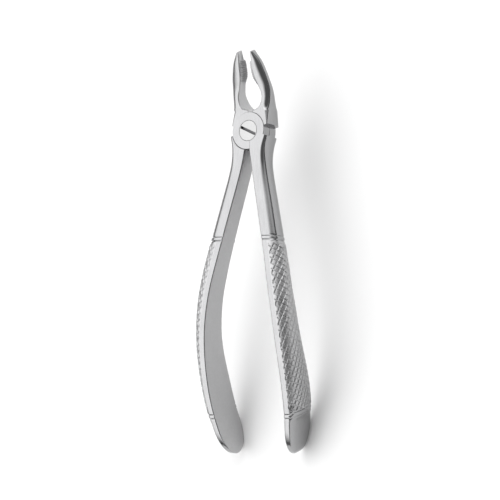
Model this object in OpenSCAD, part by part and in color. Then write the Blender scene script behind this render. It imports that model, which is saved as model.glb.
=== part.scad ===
// Extraction forceps, English pattern, with a lap joint and one screw.
// Frame: origin where the screw axis meets the front face of the joint,
// +Z out of the screw head, +Y toward the beaks, +X toward the front lever's handle.

/* [Sub-part] */
// which sub-part is drawn

/* [Joint] */
// radius of the two round half-lap discs
disc_r = 8.1; // [6:0.1:11]
// thickness of the joint from front face to back face
joint_t = 9.5; // [7:0.1:12]
// half of the free gap between the two lapped faces
lap_gap = 0.04; // [0.02:0.01:0.1]
// radial room around each disc
disc_room = 0.16; // [0.1:0.01:0.4]

/* [Screw] */
// radius of the flush screw head
head_r = 4.45; // [3:0.05:6]
// depth of the screw head
head_t = 2.2; // [1.5:0.1:3]
// radius of the plain shank
shank_r = 2.6; // [2:0.05:3.5]
// width of the driver slot
slot_w = 1.2; // [0.8:0.1:2]
// depth of the driver slot
slot_depth = 1.3; // [0.8:0.1:1.8]
// turn of the slot about the screw axis
slot_turn = -24; // [-90:1:90]

/* [Handles] */
// distance from the joint to the end of the handles
handle_len = 136.4; // [120:0.5:150]
// height of the two fine collar rings above the shank surface
collar_h = 0.15; // [0.05:0.05:0.8]
// distance between the two upper collar rings
collar_pitch = 1.8; // [1.4:0.1:2.4]

/* [Beaks] */
// distance from the joint to the tips
beak_len = 33.9; // [28:0.1:40]
// depth of the hollow along the inner face of the beak
hollow = 0.7; // [0.2:0.1:1.5]
// height of the lip along one edge of the serrated face
lip_h = 0.95; // [0:0.05:1.2]
// spacing of the cross serrations
tooth_pitch = 0.86; // [0.6:0.02:1.2]
// depth of the cross serrations
tooth_depth = 0.25; // [0.1:0.05:0.5]
// shift of the front beak's root edge at the crotch
crotch_front = -0.55; // [-0.7:0.05:0]
// shift of the rear beak's root edge at the crotch
crotch_rear = 0.4; // [0:0.05:0.6]

/* [Hidden] */
mid_z = -joint_t / 2;
upper_collar = -46;
lower_collar = -119;
steel = [0.78, 0.78, 0.79];
dark_steel = [0.62, 0.62, 0.64];
$fn = 96;

// design stations along one handle: [y, value], the x > 0 side
HANDLE_INNER = [[-1, 0.5], [-9, 1.26], [-20, 3.45], [-42, 8.8], [-62, 13.5],
                [-80, 17.0], [-100, 18.7], [-118, 18.0], [-138, 14.2]];
HANDLE_MID = [[-1, -4.75], [-18, -4.5], [-62, -4.4], [-74, -5.3], [-90, -8.7],
              [-110, -16.6], [-138, -28.2]];
HANDLE_WIDTH = [[-1, 9.5], [-8, 9.5], [-15, 8.6], [-42, 9.4], [-56, 10.2], [-74, 12.2],
                [-90, 14.2], [-108, 17.2], [-120, 17.6], [-138, 17]];
HANDLE_STRIP = [[-1, 7.6], [-9, 5.0], [-16, 3.6], [-30, 3.0], [-44, 2.8], [-52, 2.7],
                [-60, 2.6], [-90, 2.3], [-138, 2.0]];
HANDLE_CROWN = [[-1, 1.9], [-9, 2.8], [-16, 3.7], [-30, 4.5], [-44, 4.8], [-52, 5.0],
                [-60, 5.1], [-90, 4.1], [-112, 3.2], [-138, 2.4]];

// design stations along one beak, the x > 0 side
BEAK_INNER = [[1, 0.6], [8, 0.9], [9.2, 1.5], [10.2, 3.4], [12, 5.0], [16, 5.95], [20, 4.8],
              [24, 3.6], [28, 3.25], [34, 3.05]];
BEAK_OUTER = [[1, 9.7], [5, 9.6], [9, 9.5], [14, 9.9], [18, 9.9], [22, 9.3], [26, 8.3],
              [30, 6.8], [34, 4.1]];
BEAK_EDGE = [[1, 8.7], [6, 7.6], [9, 6.7], [12, 6.3], [16, 6.6], [20, 5.5], [24, 4.3],
             [28, 3.8], [34, 3.4]];
BEAK_MID = [[1, -4.75], [9, -4.75], [13, -3.9], [18, -2.2], [22, -0.3], [28, 2.3], [34, 5.0]];
BEAK_WIDTH = [[1, 9.5], [9, 9.3], [12, 8.0], [16, 6.2], [20, 5.2], [24, 5.3], [28, 5.1],
              [31, 4.1], [34, 3.4]];

// smooth curve through stations, read at y
function span(p, y) = [for (i = [0 : len(p) - 2]) if (abs(y) >= abs(p[i][0])) i];
function slope(p, i) =
    i <= 0 ? (p[1][1] - p[0][1]) / (p[1][0] - p[0][0]) :
    i >= len(p) - 1 ? (p[i][1] - p[i - 1][1]) / (p[i][0] - p[i - 1][0]) :
    (p[i + 1][1] - p[i - 1][1]) / (p[i + 1][0] - p[i - 1][0]);
function hermite(a, b, ma, mb, d, t) =
    (2 * t * t * t - 3 * t * t + 1) * a + (t * t * t - 2 * t * t + t) * d * ma
    + (3 * t * t - 2 * t * t * t) * b + (t * t * t - t * t) * d * mb;
function at_span(p, y, i) =
    hermite(p[i][1], p[i + 1][1], slope(p, i), slope(p, i + 1), p[i + 1][0] - p[i][0],
            (y - p[i][0]) / (p[i + 1][0] - p[i][0]));
function curve(p, y) = at_span(p, y, max([0, each span(p, y)]));
function ring(y, at) = exp(-pow((y - at) / 0.42, 4));
function ramp(y, a, b) = let(t = min(1, max(0, (y - a) / (b - a)))) t * t * (3 - 2 * t);

// closed outline of one lever section: inner face, side strip, crown
function section(x0, w, strip, crown, dip, grow, square, lip, edge) =
    let(hw = w / 2 + grow, f = min(0.5, strip / 3))
    concat(
        [for (i = [-3 : 3])
            [x0 + dip * (1 - pow(i / 3, 2)) - lip * ramp(edge * i / 3, 0.1, 0.9),
             (hw - f) * i / 3]],
        [[x0 + f * 0.3, hw - f * 0.3], [x0 + f, hw]],
        [[x0 + strip - f * 0.5, hw]],
        [for (i = [6 : -1 : -6]) let(a = 15 * i)
            [x0 + strip + (crown + grow) * pow(cos(a), 0.9 * square),
             hw * pow(abs(sin(a)), 1.05 * square) * sign(i)]],
        [[x0 + strip - f * 0.5, -hw]],
        [[x0 + f, -hw], [x0 + f * 0.3, -hw + f * 0.3]]);

// section outlines placed along a lever limb, tilted with its side-view slope
function tilt(p, y) = atan((curve(p, y + 0.2) - curve(p, y - 0.2)) / 0.4);
function placed(pts, y, z, b) = [for (q = pts) [q[0], y - q[1] * sin(b), z + q[1] * cos(b)]];

module skin(rings) {
    n = len(rings[0]);
    m = len(rings);
    polyhedron(
        points = [for (r = rings) each r],
        faces = concat(
            [[for (i = [0 : n - 1]) i]],
            [for (k = [0 : m - 2]) for (i = [0 : n - 1])
                each [[k * n + i, (k + 1) * n + i, (k + 1) * n + (i + 1) % n],
                      [k * n + i, (k + 1) * n + (i + 1) % n, k * n + (i + 1) % n]]],
            [[for (i = [n - 1 : -1 : 0]) (m - 1) * n + i]]),
        convexity = 6);
}

// share of the full width left at distance d from a rounded end of length r
function end_round(d, r) = sqrt(max(0.0009, 1 - pow(1 - min(1, d / r), 2)));

function handle_ring(y) =
    let(e = end_round(handle_len + y, 11), t = end_round(handle_len + y, 3),
        collar = collar_h * (ring(y, upper_collar) + ring(y, upper_collar - collar_pitch)
            + ring(y, lower_collar)),
        grip = 0.5 * ramp(-y, 48.2, 49.8) - 0.5 * ramp(-y, 117.6, 118.2),
        w = curve(HANDLE_WIDTH, y) * e,
        s = curve(HANDLE_STRIP, y) * t,
        x = curve(HANDLE_INNER, y) + (1 - t) * 2)
    placed(section(x, w, s, (curve(HANDLE_CROWN, y) + grip) * e, 0, collar,
                   0.86 + 0.14 * ramp(-y, 44, 52), 0, 1),
           y, curve(HANDLE_MID, y), tilt(HANDLE_MID, y));

function beak_ring(y, edge) =
    let(wave = 0.5 + 0.5 * cos(360 * (y - 21.4) / tooth_pitch),
        tooth = y > 21 && y < 30 ? tooth_depth * wave : 0,
        crotch = edge < 0 ? crotch_front : crotch_rear,
        x = curve(BEAK_INNER, y) + crotch * (1 - ramp(y, 8.8, 10.4)),
        total = curve(BEAK_OUTER, y) - x,
        strip = curve(BEAK_EDGE, y) - x,
        dip = hollow * ramp(y, 16, 22) * min(1, total / 3) + tooth,
        lip = lip_h * (ramp(y, 19.5, 23.5) - ramp(y, 29.7, 30.2)))
    placed(section(x, curve(BEAK_WIDTH, y), strip, total - strip, dip, 0,
                   0.8 + 0.15 * ramp(y, 8, 14), lip, edge),
           y, curve(BEAK_MID, y), tilt(BEAK_MID, y));

HANDLE_Y = concat(
    [for (i = [0 : 13]) -8.9 - 36 * i / 13],
    [for (i = [0 : 12]) -45.4 - 0.3 * i],
    [for (i = [0 : 15]) -50.4 - 66 * i / 15],
    [for (i = [0 : 7]) -117.8 - 0.3 * i],
    [for (i = [1 : 9]) -120 - (handle_len - 120) * sin(10 * i)]);
BEAK_Y = concat(
    [for (i = [0 : 12]) 8.7 + 12.3 * i / 12],
    [for (i = [0 : 19]) 21.4 + tooth_pitch * i / 2],
    [for (i = [0 : 5]) 30.25 + (beak_len - 30.2) * i / 5]);

// one beak and the opposite handle as seen from the front, x > 0 is the handle side
module limbs(edge) {
    skin([for (i = [len(HANDLE_Y) - 1 : -1 : 0]) handle_ring(HANDLE_Y[i])]);
    mirror([1, 0, 0]) skin([for (y = BEAK_Y) beak_ring(y, edge)]);
}

// shoulders at the joint: handle root on the x > 0 side, beak root on the other
module roots(edge) {
    c = edge < 0 ? crotch_front : crotch_rear;
    translate([0, 0, 0.05 - joint_t])
        linear_extrude(joint_t - 0.1) {
            polygon([[1, -0.27], [9.5, -2.53], [9.3, -5], [7.6, -9.6], [1.45, -9.6], [1, -6]]);
            polygon([[-0.95 - c, 0.27], [-9.6, 2.55], [-9.4, 5], [-7.4, 9.2],
                     [-1.55 - c, 9.2], [-0.95 - c, 8]]);
        }
}

module disc(z0, z1, r) {
    translate([0, 0, z0]) cylinder(h = z1 - z0, r = r);
}

// one lever: limbs, shoulders and its own disc, with the other lever's disc cleared away
module lever(own_low, own_high, away_low, away_high, edge) {
    limbs(edge);
    difference() {
        union() {
            roots(edge);
            disc(own_low, own_high, disc_r);
        }
        difference() {
            disc(away_low, away_high, disc_r + disc_room);
            disc(own_low, own_high, 2 * disc_r);
        }
        children();
    }
}

module front_lever() {
    color(steel) lever(mid_z + lap_gap, 0, -joint_t - 1, mid_z + lap_gap, -1) {
        disc(-head_t - 0.06, 1, head_r + 0.08);
        disc(-joint_t, 1, shank_r + 0.05);
    }
}

module rear_lever() {
    color(steel) mirror([1, 0, 0])
        lever(-joint_t, mid_z - lap_gap, mid_z - lap_gap, 1, 1)
            disc(-joint_t - 1, 1, shank_r);
}

module pivot_screw() {
    color(dark_steel) difference() {
        union() {
            disc(-head_t, 0, head_r);
            disc(-joint_t, -head_t, shank_r);
        }
        rotate([0, 0, slot_turn])
            translate([0, 0, 1 - slot_depth])
                cube([2 * head_r + 2, slot_w, 2], center = true);
    }
}

front_lever();
rear_lever();
pivot_screw();
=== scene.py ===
"""Extraction forceps: two forged levers and a joint screw, in fine detail on the CAD frame."""
import math

import bmesh
import bpy
import numpy as np
from mathutils import Matrix, Vector


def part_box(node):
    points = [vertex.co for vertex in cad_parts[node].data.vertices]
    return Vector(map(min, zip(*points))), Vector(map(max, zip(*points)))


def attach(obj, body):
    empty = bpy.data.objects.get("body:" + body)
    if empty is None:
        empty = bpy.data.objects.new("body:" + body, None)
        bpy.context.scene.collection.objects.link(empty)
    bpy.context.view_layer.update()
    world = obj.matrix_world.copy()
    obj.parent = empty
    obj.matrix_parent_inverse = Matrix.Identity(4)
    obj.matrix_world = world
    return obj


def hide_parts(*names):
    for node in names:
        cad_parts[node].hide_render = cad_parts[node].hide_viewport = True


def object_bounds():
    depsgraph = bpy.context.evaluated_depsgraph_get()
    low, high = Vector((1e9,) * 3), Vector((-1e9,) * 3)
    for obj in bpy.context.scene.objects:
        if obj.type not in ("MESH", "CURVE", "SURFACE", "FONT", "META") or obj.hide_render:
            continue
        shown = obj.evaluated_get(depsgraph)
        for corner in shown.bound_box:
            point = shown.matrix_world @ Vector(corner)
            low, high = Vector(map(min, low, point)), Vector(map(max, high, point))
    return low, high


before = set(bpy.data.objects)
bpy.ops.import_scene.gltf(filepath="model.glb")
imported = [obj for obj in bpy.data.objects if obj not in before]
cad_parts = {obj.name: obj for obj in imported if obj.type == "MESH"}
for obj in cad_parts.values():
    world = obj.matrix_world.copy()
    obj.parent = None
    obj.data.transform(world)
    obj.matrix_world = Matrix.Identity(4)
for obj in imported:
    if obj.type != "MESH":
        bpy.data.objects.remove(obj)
cad_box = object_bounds()

MM = 0.001
STEP = 1.0
SHARP_ANGLE = math.radians(32)

# ---------------------------------------------------------------- joint, in mm
screw_low, screw_high = (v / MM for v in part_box("pivot_screw"))
JOINT_T = -screw_low.z
HEAD_R = screw_high.x
DISC_R = 8.1
DISC_ROOM = 0.16
LAP_GAP = 0.04
MID_Z = -JOINT_T / 2
HEAD_T = 2.2
SHANK_R = 2.6
SLOT_W, SLOT_DEPTH, SLOT_TURN = 1.2, 1.3, math.radians(-24)
BORE_ROOM = 0.05
HEAD_ROOM = 0.08
CHAMFER = 0.12        # broken edges of the discs and of the recesses around them
FLARE = 1.12          # how far a recess cutter opens outward 1 mm past the face
SCREW_EDGE = 0.1
NOTCH_SLOPE = 0.2656  # the stop walls run radially from the screw axis
ROOT_Y = 1.5          # where the limbs start, before they lean to the stop walls
ROOT_LEAN_END = 7.0

# ---------------------------------------------------------------- handles
HANDLE_END = 136.4
HANDLE_INNER = [(-1, 0.5), (-9, 1.26), (-20, 3.45), (-42, 8.8), (-62, 13.5),
                (-80, 17.0), (-100, 18.7), (-118, 18.0), (-138, 14.2)]
HANDLE_MID = [(-1, -4.75), (-18, -4.5), (-62, -4.4), (-74, -5.3), (-90, -8.7),
              (-110, -16.6), (-138, -28.2)]
HANDLE_WIDTH = [(-1, 9.5), (-8, 9.5), (-15, 8.6), (-42, 9.4), (-56, 10.2), (-74, 12.2),
                (-90, 14.2), (-108, 17.2), (-120, 17.6), (-138, 17)]
HANDLE_STRIP = [(-1, 7.6), (-9, 5.0), (-16, 3.6), (-30, 3.0), (-44, 2.8), (-52, 2.7),
                (-60, 2.6), (-90, 2.3), (-138, 2.0)]
HANDLE_CROWN = [(-1, 1.9), (-9, 2.8), (-16, 3.7), (-30, 4.5), (-44, 4.8), (-52, 5.0),
                (-60, 5.1), (-90, 4.1), (-112, 3.2), (-138, 2.4)]
COLLARS = ((-45.8, 1.8), (-118.4, 1.6))  # where each bead starts and how long it is
COLLAR_GROOVE = (0.22, 0.26)             # depth and half-width of the lines beside it
COLLAR_BEAD = 0.14
GRIP_TOP, GRIP_BASE = -48.2, -118.0
GRIP_RISE = 0.5
SHANK_END = 44.8           # the plain shank's rings are spaced evenly down to here
FINE_STEP = 0.16           # ring spacing over the collars and the knurling
END_WIDTH_R, END_CROWN_R, END_STRIP_R, END_FACE_R = 11.0, 9.0, 2.0, 1.6
TAIL_FLAT = 0.35           # share of crown lost below the lower collar

# ---------------------------------------------------------------- knurl
KNURL_PITCH = 2.2
KNURL_GROOVE = 0.50
KNURL_DEPTH = 0.34
KNURL_FLAT = 0.10                        # half-width of a groove's floor
KNURL_EDGE = KNURL_GROOVE / 2 + 0.12     # where its sides end
KNURL_TURN = (math.radians(-30), math.radians(57))
KNURL_MARGIN = (0.35, 0.9)               # plain border along the crown's edges

# ---------------------------------------------------------------- beaks
BEAK_END = 33.9
BEAK_INNER = [(1, 0.6), (8, 0.9), (9.2, 1.5), (10.2, 3.4), (12, 5.0), (16, 5.95), (20, 4.8),
              (24, 3.6), (28, 3.25), (34, 3.05)]
BEAK_OUTER = [(1, 9.7), (5, 9.6), (9, 9.5), (14, 9.9), (18, 9.9), (22, 9.3), (26, 8.3),
              (30, 6.8), (34, 4.1)]
BEAK_EDGE = [(1, 8.7), (6, 7.6), (9, 6.7), (12, 6.3), (16, 6.6), (20, 5.5), (24, 4.3),
             (28, 3.8), (34, 3.4)]
BEAK_MID = [(1, -4.75), (9, -4.75), (13, -3.9), (18, -2.2), (22, -0.3), (28, 2.3), (34, 5.0)]
BEAK_WIDTH = [(1, 9.5), (9, 9.3), (12, 8.0), (16, 6.2), (20, 5.2), (24, 5.3), (28, 5.1),
              (31, 4.1), (34, 3.4)]
TEETH = (21.4, 30.0)
TOOTH_PITCH = 0.86
TOOTH_DEPTH = 0.28
CROTCH = (-0.55, 0.4)    # shift of the front and of the rear beak's inner face at the root
CROTCH_SPAN = (8.8, 10.4)
HOLLOW = 0.7
HOLLOW_SPAN = (16, 22)
RIM = 0.95               # raised lip of the serrated face: back edge left, front edge right
RIM_SPAN = (19.5, 30.2)
TIP_R = 0.35


def curve(stations, y):
    """Smooth value at y through the design stations (the same rule as the CAD)."""
    pts = np.array(stations, float)
    order = np.argsort(pts[:, 0])
    x, v = pts[order, 0], pts[order, 1]
    slope = np.empty(len(x))
    slope[1:-1] = (v[2:] - v[:-2]) / (x[2:] - x[:-2])
    slope[0] = (v[1] - v[0]) / (x[1] - x[0])
    slope[-1] = (v[-1] - v[-2]) / (x[-1] - x[-2])
    y = np.asarray(y, float)
    i = np.clip(np.searchsorted(x, y) - 1, 0, len(x) - 2)
    d = x[i + 1] - x[i]
    t = (y - x[i]) / d
    return ((2 * t**3 - 3 * t**2 + 1) * v[i] + (t**3 - 2 * t**2 + t) * d * slope[i]
            + (3 * t**2 - 2 * t**3) * v[i + 1] + (t**3 - t**2) * d * slope[i + 1])


def ramp(v, a, b):
    """Smooth step from 0 at a to 1 at b."""
    t = np.clip((v - a) / (b - a), 0, 1)
    return t * t * (3 - 2 * t)


def rounded(d, r):
    """Share of the full size left at distance d from an end rounded with radius r."""
    return np.sqrt(np.clip(1 - (1 - np.clip(d / r, 0, 1)) ** 2, 0.0004, 1))


def collar_profile(y):
    """Outward offset of the fine bead and the two lines beside it."""
    depth, half = COLLAR_GROOVE
    out = np.zeros_like(y)
    for start, length in COLLARS:
        stop = start - length
        out += COLLAR_BEAD * ramp(-y, -start, -start + 0.5) * ramp(y, stop, stop + 0.5)
        for at in (start, stop):
            out -= depth * np.exp(-((y - at) / half) ** 2)
    return out


CROWN_N = int(132 / STEP)  # points across the crown
INNER_N = 13               # points across the inner face
CORNER = np.radians([30, 60, 90])
SIDE = np.array([0.35, 0.7])
FILLET = 0.35


def column(v):
    """One value per ring, shaped to spread across the ring's points."""
    return np.asarray(v, float)[:, None]


def knurl_depth(y, z, w):
    """Depth of the diamond knurling at ring y, height z and distance w across the crown."""
    along = column(np.concatenate([[0], np.cumsum(np.hypot(np.diff(y), np.diff(z)))]))
    cut = np.zeros_like(w)
    for turn in KNURL_TURN:
        phase = (along * math.cos(turn) + w * math.sin(turn)) / KNURL_PITCH
        near = np.abs(phase - np.round(phase)) * KNURL_PITCH
        cut = np.maximum(cut, 1 - ramp(near, KNURL_FLAT, KNURL_EDGE))
    half = np.abs(w).max(axis=1, keepdims=True)
    mask = ramp(half - np.abs(w), *KNURL_MARGIN)
    mask = mask * column(ramp(-y, -GRIP_TOP + 0.9, -GRIP_TOP + 1.8))
    mask = mask * column(ramp(y, GRIP_BASE + 0.2, GRIP_BASE + 1.0))
    return cut * mask * KNURL_DEPTH


def section_rings(y, x0, width, strip, crown, dip, grow, z, tilt, square,
                  knurl=False, rim=0.0, lip=1, tooth=0.0):
    """Rings of one limb: flat inner face, side strips and a crowned outer face.
    Returns points (rings, around, 3) and, per point, whether it is on the inner face."""
    ones = np.ones_like(y)
    hw = width / 2 + grow
    f = np.minimum(FILLET, np.minimum(strip / 2.5, hw / 3))
    k = np.linspace(-1, 1, INNER_N)
    parts = [(column(x0) + column(dip) * (1 - k**2) - column(rim * ones) * ramp(lip * k, 0.1, 0.9)
              + column(tooth * ones) * (1 - 0.3 * k**2), column(hw - f) * k)]
    parts.append((column(x0) + column(f) * (1 - np.cos(CORNER)),
                  column(hw) - column(f) * (1 - np.sin(CORNER))))
    parts.append((column(x0 + f) + column(strip - f) * SIDE, column(hw) * np.ones(2)))
    # crown with points evenly spread over its arc length
    t = np.linspace(math.pi / 2, -math.pi / 2, 400)
    cu = column(crown + grow) * np.abs(np.cos(t)) ** column(0.9 * square)
    cv = column(hw) * np.abs(np.sin(t)) ** column(1.05 * square) * np.sign(np.sin(t))
    arc = np.concatenate([np.zeros((len(hw), 1)),
                          np.cumsum(np.hypot(np.diff(cu), np.diff(cv)), axis=1)], axis=1)
    u, v, w = (np.empty((len(hw), CROWN_N)) for _ in range(3))
    for r in range(len(hw)):
        even = np.linspace(0, arc[r, -1], CROWN_N)
        u[r], v[r] = np.interp(even, arc[r], cu[r]), np.interp(even, arc[r], cv[r])
        w[r] = even - arc[r, -1] / 2
    u += column(x0 + strip)
    if knurl:
        du, dv = np.gradient(u, axis=1), np.gradient(v, axis=1)
        n = np.hypot(du, dv) + 1e-9
        depth = knurl_depth(y, z, w)
        u += dv / n * depth
        v -= du / n * depth
    parts.append((u, v))
    parts.append((column(x0 + f) + column(strip - f) * SIDE[::-1], -column(hw) * np.ones(2)))
    parts.append((column(x0) + column(f) * (1 - np.cos(CORNER[::-1])),
                  -column(hw) + column(f) * (1 - np.sin(CORNER[::-1]))))
    uu = np.concatenate([p[0] for p in parts], axis=1)
    vv = np.concatenate([p[1] for p in parts], axis=1)
    b = column(np.arctan(tilt))
    pts = np.stack([uu, column(y) - vv * np.sin(b), column(z) + vv * np.cos(b)], axis=2)
    inner = np.arange(uu.shape[1]) < INNER_N
    return pts, inner


def slope_of(stations, y):
    """Slope at y of the curve through the stations."""
    return (curve(stations, y + 0.2) - curve(stations, y - 0.2)) / 0.4


def handle_rings(y):
    """Rings of one handle with its collars and knurling, from the joint to the rounded end."""
    end = HANDLE_END + y
    face = rounded(end, END_FACE_R)
    grip = (GRIP_RISE * ramp(-y, -GRIP_TOP, -GRIP_TOP + 1.6)
            * ramp(y, GRIP_BASE - 0.2, GRIP_BASE + 0.4))
    strip = curve(HANDLE_STRIP, y) * (0.35 + 0.65 * rounded(end, END_STRIP_R)) * face
    crown = (curve(HANDLE_CROWN, y) + grip) * rounded(end, END_CROWN_R)
    crown = crown * (1 - TAIL_FLAT * ramp(-y, 119.5, 122.5))
    return section_rings(
        y, curve(HANDLE_INNER, y) + 0.35 * (1 - face),
        curve(HANDLE_WIDTH, y) * rounded(end, END_WIDTH_R), strip, crown, 0 * y,
        collar_profile(y), curve(HANDLE_MID, y), slope_of(HANDLE_MID, y),
        0.86 + 0.14 * ramp(-y, 44, 52), knurl=True)


def beak_rings(y, lip):
    """Rings of one beak. lip is the side of the raised rim: -1 on the back edge, 1 on the front."""
    wave = 0.5 - 0.5 * np.cos(2 * math.pi * (y - TEETH[0]) / TOOTH_PITCH)
    teeth = TOOTH_DEPTH * np.where((y > TEETH[0]) & (y < TEETH[1]), wave, 0)
    x = curve(BEAK_INNER, y)
    total = curve(BEAK_OUTER, y) - x
    strip = curve(BEAK_EDGE, y) - x
    hollow = HOLLOW * ramp(y, *HOLLOW_SPAN) * np.minimum(1, total / 3)
    x = x + CROTCH[0 if lip < 0 else 1] * (1 - ramp(y, *CROTCH_SPAN))
    tip = rounded(BEAK_END + 0.02 - y, TIP_R)
    rim = (RIM * ramp(y, RIM_SPAN[0], RIM_SPAN[0] + 4)
           * (1 - ramp(y, RIM_SPAN[1] - 0.5, RIM_SPAN[1])))
    return section_rings(
        y, x + (1 - tip) * 0.1, curve(BEAK_WIDTH, y) * (0.9 + 0.1 * tip), strip,
        (total - strip) * tip, hollow, 0 * y, curve(BEAK_MID, y), slope_of(BEAK_MID, y),
        0.8 + 0.15 * ramp(y, 8, 14), rim=rim, lip=lip, tooth=teeth)


def shear_root(pts, side):
    """Leans the first rings to the radial stop wall: side is -1 for a handle, 1 for a beak."""
    y = pts[..., 1] * side
    wall = NOTCH_SLOPE * pts[..., 0]
    lean = 1 - ramp(y, ROOT_Y, ROOT_LEAN_END)
    pts[..., 1] = side * (y + lean * (wall - ROOT_Y))
    return pts


def solid_mesh(name, verts, faces, mats=None):
    """Mesh from vertices and faces, with its normals turned outward."""
    mesh = bpy.data.meshes.new(name)
    mesh.from_pydata(verts, [], faces)
    if mats:
        mesh.polygons.foreach_set("material_index", mats)
    mesh.update()
    bm = bmesh.new()
    bm.from_mesh(mesh)
    bmesh.ops.recalc_face_normals(bm, faces=bm.faces)
    bm.to_mesh(mesh)
    bm.free()
    return mesh


def tube(pts, inner, name):
    """Closed mesh from rings, in metres. Material 1 on inner faces, 2 on the knurled crown."""
    rings, n = pts.shape[:2]
    crown_from = INNER_N + len(CORNER) + len(SIDE)
    crown_to = crown_from + CROWN_N - 1
    faces, mats = [], []
    for k in range(rings - 1):
        for i in range(n):
            j = (i + 1) % n
            faces.append((k * n + i, k * n + j, (k + 1) * n + j, (k + 1) * n + i))
            knurled = crown_from <= i < crown_to and GRIP_BASE < pts[k, i, 1] < GRIP_TOP
            mats.append(1 if inner[i] and inner[j] else 2 * knurled)
    faces.append(tuple(range(n - 1, -1, -1)))
    faces.append(tuple((rings - 1) * n + i for i in range(n)))
    mats += [0, 0]
    return solid_mesh(name, (pts.reshape(-1, 3) * MM).tolist(), faces, mats)


def lathe(profile, name):
    """Closed solid of revolution about Z from (radius, z) points in mm."""
    around = int(192 / STEP)
    verts, faces = [], []
    for r, z in profile:
        for i in range(around):
            a = 2 * math.pi * i / around
            verts.append((r * math.cos(a) * MM, r * math.sin(a) * MM, z * MM))
    for k in range(len(profile) - 1):
        for i in range(around):
            j = (i + 1) % around
            faces.append((k * around + i, k * around + j,
                          (k + 1) * around + j, (k + 1) * around + i))
    faces.append(tuple(range(around - 1, -1, -1)))
    faces.append(tuple((len(profile) - 1) * around + i for i in range(around)))
    return solid_mesh(name, verts, faces)


# ---------------------------------------------------------------- materials
TONE_SPAN = (0.3, 0.7)     # part of the noise's range that is used
TONE_SHARE = (0.9, 1.06)   # darkest and lightest share of the base colour
ROUGH_SHARE = (0.8, 1.2)


def steel(name, base, rough, grain, grain_depth, coarse):
    """Stainless steel with fine polishing lines along the tool and faint handling marks."""
    mat = bpy.data.materials.new(name)
    mat.use_nodes = True
    nt = mat.node_tree
    bsdf = nt.nodes["Principled BSDF"]
    bsdf.inputs["Metallic"].default_value = 1.0
    coord = nt.nodes.new("ShaderNodeTexCoord")
    stretch = nt.nodes.new("ShaderNodeMapping")
    stretch.inputs["Scale"].default_value = grain
    nt.links.new(coord.outputs["Object"], stretch.inputs["Vector"])
    lines = nt.nodes.new("ShaderNodeTexNoise")
    lines.inputs["Scale"].default_value = 1.0
    lines.inputs["Detail"].default_value = 4
    nt.links.new(stretch.outputs["Vector"], lines.inputs["Vector"])
    cloud = nt.nodes.new("ShaderNodeTexNoise")
    cloud.inputs["Scale"].default_value = coarse
    cloud.inputs["Detail"].default_value = 3
    nt.links.new(coord.outputs["Object"], cloud.inputs["Vector"])
    both = nt.nodes.new("ShaderNodeMath")
    both.operation = "ADD"
    nt.links.new(lines.outputs["Fac"], both.inputs[0])
    nt.links.new(cloud.outputs["Fac"], both.inputs[1])
    mean = nt.nodes.new("ShaderNodeMath")
    mean.operation = "MULTIPLY"
    mean.inputs[1].default_value = 0.5
    nt.links.new(both.outputs[0], mean.inputs[0])
    tone = nt.nodes.new("ShaderNodeValToRGB")
    for end, at, share in zip(tone.color_ramp.elements, TONE_SPAN, TONE_SHARE):
        end.position = at
        end.color = [c * share for c in base] + [1]
    nt.links.new(mean.outputs[0], tone.inputs["Fac"])
    nt.links.new(tone.outputs["Color"], bsdf.inputs["Base Color"])
    spread = nt.nodes.new("ShaderNodeMapRange")
    spread.inputs["From Min"].default_value = TONE_SPAN[0]
    spread.inputs["From Max"].default_value = TONE_SPAN[1]
    spread.inputs["To Min"].default_value = rough * ROUGH_SHARE[0]
    spread.inputs["To Max"].default_value = rough * ROUGH_SHARE[1]
    nt.links.new(mean.outputs[0], spread.inputs["Value"])
    nt.links.new(spread.outputs["Result"], bsdf.inputs["Roughness"])
    bump = nt.nodes.new("ShaderNodeBump")
    bump.inputs["Strength"].default_value = 0.25
    bump.inputs["Distance"].default_value = grain_depth
    nt.links.new(lines.outputs["Fac"], bump.inputs["Height"])
    nt.links.new(bump.outputs["Normal"], bsdf.inputs["Normal"])
    return mat


POLISHED = steel("polished_steel", (0.35, 0.35, 0.355), 0.16, (2600, 160, 2600), 0.00002, 90)
SATIN = steel("satin_steel", (0.50, 0.50, 0.505), 0.42, (900, 900, 900), 0.00003, 60)
SCREW = steel("screw_steel", (0.40, 0.40, 0.40), 0.24, (1500, 1500, 300), 0.00002, 200)
KNURLED = steel("knurled_steel", (0.44, 0.44, 0.445), 0.36, (700, 700, 700), 0.00002, 120)
# Dark steel for the screw slot's cut walls and floor: painted shade inside the recess.
SLOT_SHADE = steel("slot_painted_shade", (0.16, 0.16, 0.165), 0.5, (900, 900, 900), 0.00002, 300)


# ---------------------------------------------------------------- pieces
def thing(mesh, name, *mats):
    """Object for a mesh, in the scene, with the materials given."""
    for m in mats:
        mesh.materials.append(m)
    obj = bpy.data.objects.new(name, mesh)
    bpy.context.scene.collection.objects.link(obj)
    return obj


def carve(target, cutter, how):
    """Applies one exact boolean to target and removes the cutter."""
    mod = target.modifiers.new("cut", "BOOLEAN")
    mod.operation = how
    mod.solver = "EXACT"
    mod.object = cutter
    mod.material_mode = "TRANSFER"
    depsgraph = bpy.context.evaluated_depsgraph_get()
    made = bpy.data.meshes.new_from_object(target.evaluated_get(depsgraph))
    target.modifiers.clear()
    target.data = made
    bpy.data.objects.remove(cutter)


def handle_stations():
    """Ring positions down the handle: even, then fine over the grip, then closing on the end."""
    shank = -ROOT_Y - (SHANK_END - ROOT_Y) * np.linspace(0, 1, int(70 / STEP) + 1)
    grip = np.arange(-45.0, GRIP_BASE - 3.4, -FINE_STEP * STEP)
    turn = np.linspace(0, 1, int(48 / STEP) + 1)[1:] * math.pi / 2
    tail = grip[-1] - (HANDLE_END + grip[-1]) * np.sin(turn)
    return np.concatenate([shank, grip, tail])


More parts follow.
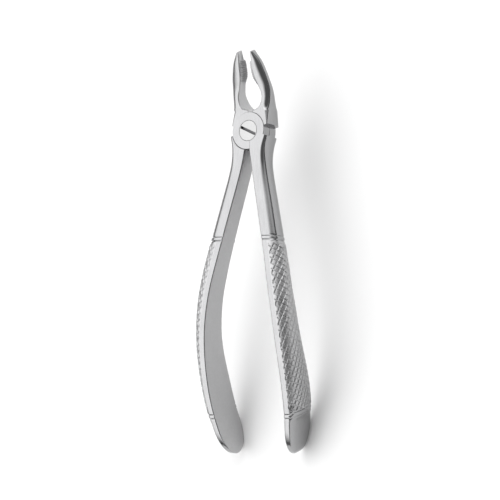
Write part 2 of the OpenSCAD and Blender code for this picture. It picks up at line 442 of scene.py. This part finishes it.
def beak_stations():
    """Ring positions up the beak: coarse, then eight to a tooth, then closing on the tip."""
    tip = BEAK_END - 0.36 * (1 - np.sin(np.linspace(0, math.pi / 2, 6)))
    return np.concatenate([np.arange(ROOT_Y, 20.9, 0.4 * STEP),
                           np.arange(21.0, 30.3, TOOTH_PITCH / 8 * STEP),
                           np.arange(30.35, BEAK_END - 0.4, 0.2 * STEP), tip])


def disc_recess(low, high):
    """Cutter that clears the other lever's disc, with a fine broken edge at the open face."""
    r = DISC_R + DISC_ROOM
    if high > 0:
        return [(r, low), (r, -CHAMFER), (r + FLARE, 1.0)]
    return [(r + FLARE, -JOINT_T - 1.0), (r, -JOINT_T + CHAMFER), (r, high)]


def screw_bore(low, high):
    """Cutter for the screw: shank and head in the front disc, shank alone in the rear one."""
    if high < MID_Z:
        return [(SHANK_R, low - 1), (SHANK_R, high + 1)]
    seat = -HEAD_T - 0.06
    return [(SHANK_R + BORE_ROOM, low - 1), (SHANK_R + BORE_ROOM, seat),
            (HEAD_R + HEAD_ROOM, seat), (HEAD_R + HEAD_ROOM, -0.08), (HEAD_R + 1.16, 1.0)]


def build_lever(name, side, own, away):
    """One lever. side is 1 with the handle at x > 0. own and away are the discs' (low, high) z."""
    handle, inner = handle_rings(handle_stations())
    beak, _ = beak_rings(beak_stations(), -side)
    handle, beak = shear_root(handle, -1), shear_root(beak, 1)
    handle[..., 0] *= side
    beak[..., 0] *= -side
    lever = thing(tube(handle, inner, name), name, POLISHED, SATIN, KNURLED)
    half = thing(tube(beak, inner, "beak"), "beak", POLISHED, SATIN)
    for part in (lever, half):
        carve(part, thing(lathe(disc_recess(*away), "clear"), "clear", SATIN), "DIFFERENCE")
    low, high = own
    rim = [(DISC_R - CHAMFER, low), (DISC_R, low + CHAMFER),
           (DISC_R, high - CHAMFER), (DISC_R - CHAMFER, high)]
    disc = thing(lathe(rim, "disc"), "disc", POLISHED)
    carve(lever, half, "UNION")
    carve(lever, disc, "UNION")
    carve(lever, thing(lathe(screw_bore(low, high), "bore"), "bore", SATIN), "DIFFERENCE")
    return lever


def build_screw():
    """Joint screw: chamfered shank, flat head and one straight slot."""
    shank_r = SHANK_R - 0.02
    screw = thing(lathe([(SHANK_R - 0.3, -JOINT_T), (shank_r, -JOINT_T + 0.3), (shank_r, -HEAD_T),
                         (HEAD_R, -HEAD_T), (HEAD_R, -SCREW_EDGE), (HEAD_R - SCREW_EDGE, 0)],
                        "screw"), "pivot_screw_steel", SCREW)
    bm = bmesh.new()
    bmesh.ops.create_cube(bm, size=1.0)
    blade = Vector((2 * HEAD_R - 0.5, SLOT_W, 2 * SLOT_DEPTH)) * MM
    bmesh.ops.scale(bm, vec=blade, verts=bm.verts)
    bmesh.ops.rotate(bm, cent=(0, 0, 0), matrix=Matrix.Rotation(SLOT_TURN, 3, "Z"), verts=bm.verts)
    slot_mesh = bpy.data.meshes.new("slot")
    bm.to_mesh(slot_mesh)
    bm.free()
    # The slot's cut faces take the dark slot material, which paints shade inside the slot.
    carve(screw, thing(slot_mesh, "slot", SLOT_SHADE), "DIFFERENCE")
    return screw


def finish_piece(obj, node, body):
    """Smooth shading with sharp edges kept, and the piece's place in the frame."""
    for poly in obj.data.polygons:
        poly.use_smooth = True
    obj.data.set_sharp_from_angle(angle=SHARP_ANGLE)
    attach(obj, body)
    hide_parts(node)


front = build_lever("front_lever_steel", 1, (MID_Z + LAP_GAP, 0.0), (-JOINT_T - 1, MID_Z + LAP_GAP))
rear = build_lever("rear_lever_steel", -1, (-JOINT_T, MID_Z - LAP_GAP), (MID_Z - LAP_GAP, 1))
finish_piece(front, "front_lever", "front")
finish_piece(rear, "rear_lever", "rear")
finish_piece(build_screw(), "pivot_screw", "rear")

# ---------------------------------------------------------------- stage
FLOOR_HALF = 4
low_z = cad_box[0].z
floor_mesh = bpy.data.meshes.new("floor")
floor_mesh.from_pydata([(-FLOOR_HALF, -FLOOR_HALF, low_z), (FLOOR_HALF, -FLOOR_HALF, low_z),
                        (FLOOR_HALF, FLOOR_HALF, low_z), (-FLOOR_HALF, FLOOR_HALF, low_z)],
                       [], [(0, 1, 2, 3)])
floor_mat = bpy.data.materials.new("floor_paper")
floor_mat.use_nodes = True
floor_bsdf = floor_mat.node_tree.nodes["Principled BSDF"]
floor_bsdf.inputs["Base Color"].default_value = (0.97, 0.97, 0.97, 1)
floor_bsdf.inputs["Roughness"].default_value = 0.9
thing(floor_mesh, "floor", floor_mat)

# ---------------------------------------------------------------- camera
RIGHT = Vector((0.8305, 0.0519, -0.5550)).normalized()
UP = Vector((0.0303, 0.98997, 0.1380)).normalized()
BACK = RIGHT.cross(UP).normalized()   # from the object towards the camera
UP = BACK.cross(RIGHT).normalized()
VIEW_SIDE = 0.215                     # side of the square seen in the object's plane
AIM = RIGHT * 0.00089 - UP * 0.0514
DISTANCE = 1.5
SENSOR = 36
cam_data = bpy.data.cameras.new("camera")
cam_data.sensor_width = SENSOR
cam_data.lens = SENSOR * DISTANCE / VIEW_SIDE
cam_data.clip_start, cam_data.clip_end = 0.01, 50
camera = bpy.data.objects.new("camera", cam_data)
turn = Matrix((RIGHT, UP, BACK)).transposed().to_4x4()
camera.matrix_world = Matrix.Translation(AIM + BACK * DISTANCE) @ turn
bpy.context.scene.collection.objects.link(camera)
bpy.context.scene.camera = camera

# ---------------------------------------------------------------- light
SKY_HEIGHT = (0.15, 0.65)      # where the dome starts and stops brightening, as height / radius
SKY_STRENGTH = (0.06, 2.1)
DARK_PATCH = ((0.62, 1.0), (0.90, 0.09))  # cosine from the camera's direction, and brightness there
world = bpy.data.worlds.new("studio")
world.use_nodes = True
sky = world.node_tree
background = sky.nodes["Background"]
direction = sky.nodes.new("ShaderNodeTexCoord")
toward = sky.nodes.new("ShaderNodeVectorMath")
toward.operation = "DOT_PRODUCT"
toward.inputs[1].default_value = BACK
sky.links.new(direction.outputs["Generated"], toward.inputs[0])
shade = sky.nodes.new("ShaderNodeValToRGB")
for stop, (at, level) in zip(shade.color_ramp.elements, DARK_PATCH):
    stop.position = at
    stop.color = (level, level, level, 1)
sky.links.new(toward.outputs["Value"], shade.inputs["Fac"])
height = sky.nodes.new("ShaderNodeSeparateXYZ")
sky.links.new(direction.outputs["Generated"], height.inputs[0])
dome = sky.nodes.new("ShaderNodeMapRange")
dome.inputs["From Min"].default_value, dome.inputs["From Max"].default_value = SKY_HEIGHT
dome.inputs["To Min"].default_value, dome.inputs["To Max"].default_value = SKY_STRENGTH
sky.links.new(height.outputs["Z"], dome.inputs["Value"])
sky.links.new(dome.outputs["Result"], background.inputs["Strength"])
sky.links.new(shade.outputs["Color"], background.inputs["Color"])
bpy.context.scene.world = world

LIT_POINT = Vector((0, -0.05, 0))


def softbox(name, direction, distance, size, power):
    """Square area light facing the tool from the direction given."""
    data = bpy.data.lights.new(name, "AREA")
    data.shape = "SQUARE"
    data.size = size
    data.energy = power
    lamp = bpy.data.objects.new(name, data)
    d = Vector(direction).normalized()
    lamp.location = LIT_POINT + d * distance
    lamp.rotation_mode = "QUATERNION"
    lamp.rotation_quaternion = d.to_track_quat("Z", "Y")
    bpy.context.scene.collection.objects.link(lamp)


softbox("key", (-0.557, -0.12, 0.82), 2.5, 2.3, 1.0)
softbox("fill", (0.1, 0.9, 0.9), 1.1, 0.7, 0.8)

scene = bpy.context.scene
scene.view_settings.view_transform = "Standard"
scene.view_settings.look = "None"
